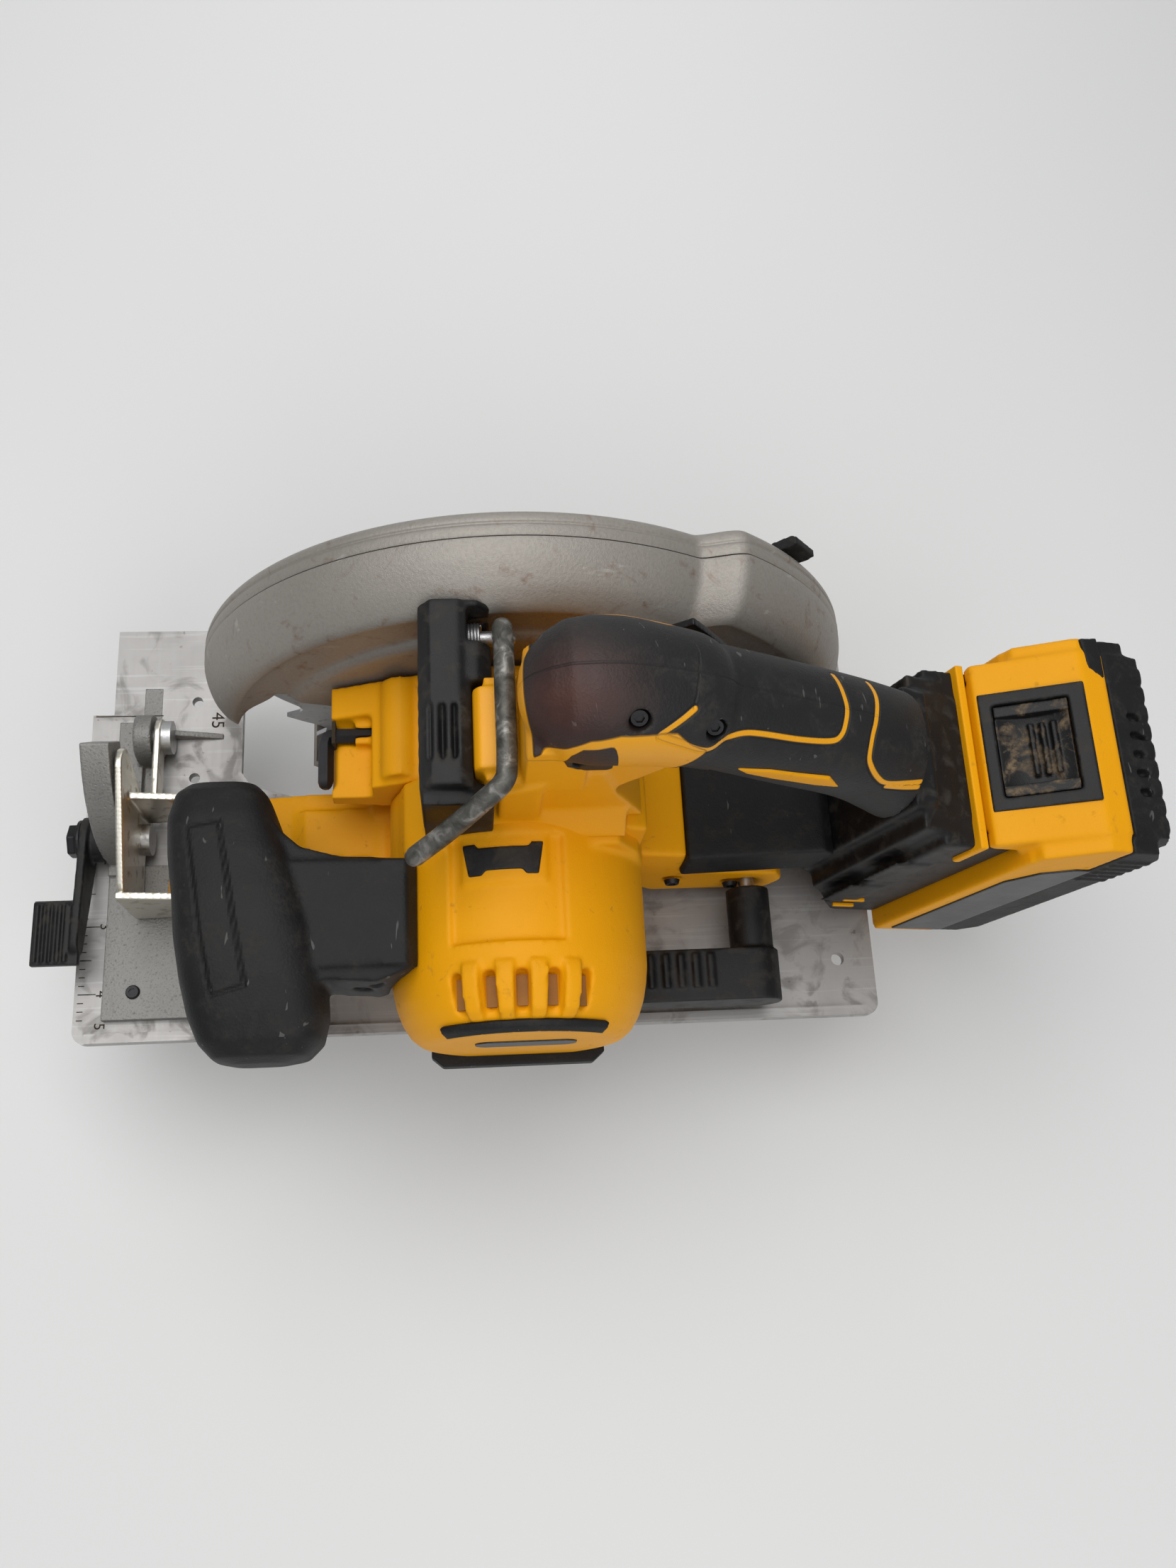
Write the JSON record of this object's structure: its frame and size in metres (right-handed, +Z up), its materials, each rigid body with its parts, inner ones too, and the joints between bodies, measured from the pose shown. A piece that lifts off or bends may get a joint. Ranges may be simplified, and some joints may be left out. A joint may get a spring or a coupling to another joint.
{
  "type": "cordless circular saw",
  "caption": "Cordless circular saw with magnesium guards, tilting base plate, front knob, looped rear handle with trigger, rafter hook and a slide-on battery pack.",
  "frame": {"origin": "on the underside of the base plate, on the cutting line, 28 mm behind the front edge", "axes": "+X to the rear (battery end), +Y towards the blade side, +Z up from the underside of the base plate"},
  "size_m": [0.3883, 0.1839, 0.2564],
  "materials": {
    "plate": "satin",
    "casting": "satin",
    "bracket": "matte",
    "zinc": "satin",
    "steel": "satin",
    "yellow_shell": "satin",
    "black_rubber": "matte",
    "black_plastic": "matte",
    "copper": "satin",
    "board": "gloss",
    "cell_wrap": "gloss"
  },
  "bodies": {
    "base": {"base_plate": "plate", "bevel_quadrant": "bracket", "rear_pivot_lug": "bracket", "base_screws": "steel"},
    "bevel_frame": {"bevel_bracket": "zinc", "bevel_pins": "steel", "depth_pivot_pin": "steel", "depth_quadrant": "zinc", "bevel_bolt": "steel"},
    "bevel_clamp": {"bevel_lever": "black_plastic", "bevel_nut": "black_plastic"},
    "saw": {"upper_guard": "casting", "guard_cover": "casting", "guard_screws": "steel", "gear_case": "yellow_shell", "motor_housing": "yellow_shell", "motor_end_cap": "yellow_shell", "end_bumpers": "black_rubber", "housing_screws": "steel", "stator": "steel", "windings": "copper", "spindle_bearings": "steel", "motor_bearings": "steel", "controller": "board", "guard_spring": "steel", "handle_left": "yellow_shell", "handle_right": "yellow_shell", "grip_cover": "black_rubber", "switch_body": "black_plastic", "front_handle": "black_rubber", "front_handle_core": "black_plastic", "rear_brace": "yellow_shell", "brace_cover": "black_rubber", "battery_foot": "black_plastic", "terminal_block": "black_plastic", "hook_mount": "black_plastic", "hook_spring": "steel", "depth_bolt": "steel"},
    "spindle_set": {"blade": "steel", "spindle": "steel", "driven_gear": "steel", "inner_flange": "steel", "outer_flange": "steel", "blade_bolt": "steel"},
    "motor_rotor": {"rotor": "steel", "rotor_shaft": "steel", "cooling_fan": "black_plastic"},
    "swing_guard": {"lower_guard": "casting", "guard_lever": "black_rubber"},
    "hook": {"rafter_hook": "steel"},
    "trigger": {"trigger": "black_plastic"},
    "lock_off": {"lock_off_button": "black_plastic"},
    "lock_pin": {"spindle_lock": "black_plastic"},
    "key": {"hex_key": "black_plastic"},
    "depth_clamp": {"depth_lever": "black_plastic"},
    "battery": {"battery_case": "yellow_shell", "battery_base": "black_rubber", "battery_cells": "cell_wrap"},
    "battery_button": {"battery_release": "black_plastic"}
  },
  "joints": [
    {"name": "bevel_tilt", "type": "hinge", "parent": "base", "child": "bevel_frame", "pos_m": [0, -0.012, 0.012], "axis": [-1, 0, 0], "range_deg": [0, 50]},
    {"name": "bevel_clamp_turn", "type": "hinge", "parent": "bevel_frame", "child": "bevel_clamp", "pos_m": [-0.022, -0.05348, 0.01345], "axis": [-1, 0, 0], "range_deg": [0, 75]},
    {"name": "depth_swing", "type": "hinge", "parent": "bevel_frame", "child": "saw", "pos_m": [0.02, -0.065, 0.025], "axis": [0, -1, 0], "range_deg": [0, 34]},
    {"name": "spindle_spin", "type": "hinge", "parent": "saw", "child": "spindle_set", "pos_m": [0.136, 0, 0.028], "axis": [0, 1, 0], "continuous": true},
    {"name": "rotor_spin", "type": "hinge", "parent": "saw", "child": "motor_rotor", "pos_m": [0.134, -0.09, 0.06194], "axis": [0, 1, 0], "continuous": true},
    {"name": "guard_swing", "type": "hinge", "parent": "saw", "child": "swing_guard", "pos_m": [0.136, 0, 0.028], "axis": [0, -1, 0], "range_deg": [0, 126], "stiffness_Nm_per_rad": 0.25, "springref_deg": -45.84},
    {"name": "hook_swing", "type": "hinge", "parent": "saw", "child": "hook", "pos_m": [0.128, -0.024, 0.126], "axis": [-1, 0, 0], "range_deg": [0, 75]},
    {"name": "trigger_press", "type": "slide", "parent": "saw", "child": "trigger", "axis": [0, 0, 1], "range_m": [0, 0.005], "stiffness_N_per_m": 900, "springref_m": -0.003},
    {"name": "lock_off_press", "type": "slide", "parent": "saw", "child": "lock_off", "axis": [0, 1, 0], "range_m": [0, 0.003], "stiffness_N_per_m": 700, "springref_m": -0.002},
    {"name": "spindle_lock_press", "type": "slide", "parent": "saw", "child": "lock_pin", "axis": [1, 0, 0], "range_m": [0, 0.004], "stiffness_N_per_m": 900, "springref_m": -0.002},
    {"name": "key_pull", "type": "slide", "parent": "saw", "child": "key", "axis": [-1, 0, 0], "range_m": [0, 0.02]},
    {"name": "depth_clamp_turn", "type": "hinge", "parent": "saw", "child": "depth_clamp", "pos_m": [0.222, -0.1, 0.025], "axis": [0, 1, 0], "range_deg": [0, 60]},
    {"name": "battery_slide", "type": "slide", "parent": "saw", "child": "battery", "axis": [0.2588, 0, 0.9659], "range_m": [0, 0.06]},
    {"name": "battery_button_press", "type": "slide", "parent": "battery", "child": "battery_button", "axis": [0.3458, 0, -0.9383], "range_m": [0, 0.003], "stiffness_N_per_m": 900, "springref_m": -0.002}
  ],
  "couplings": [
    {"joint": "rotor_spin", "follows": "spindle_spin", "ratio": -5.8}
  ]
}
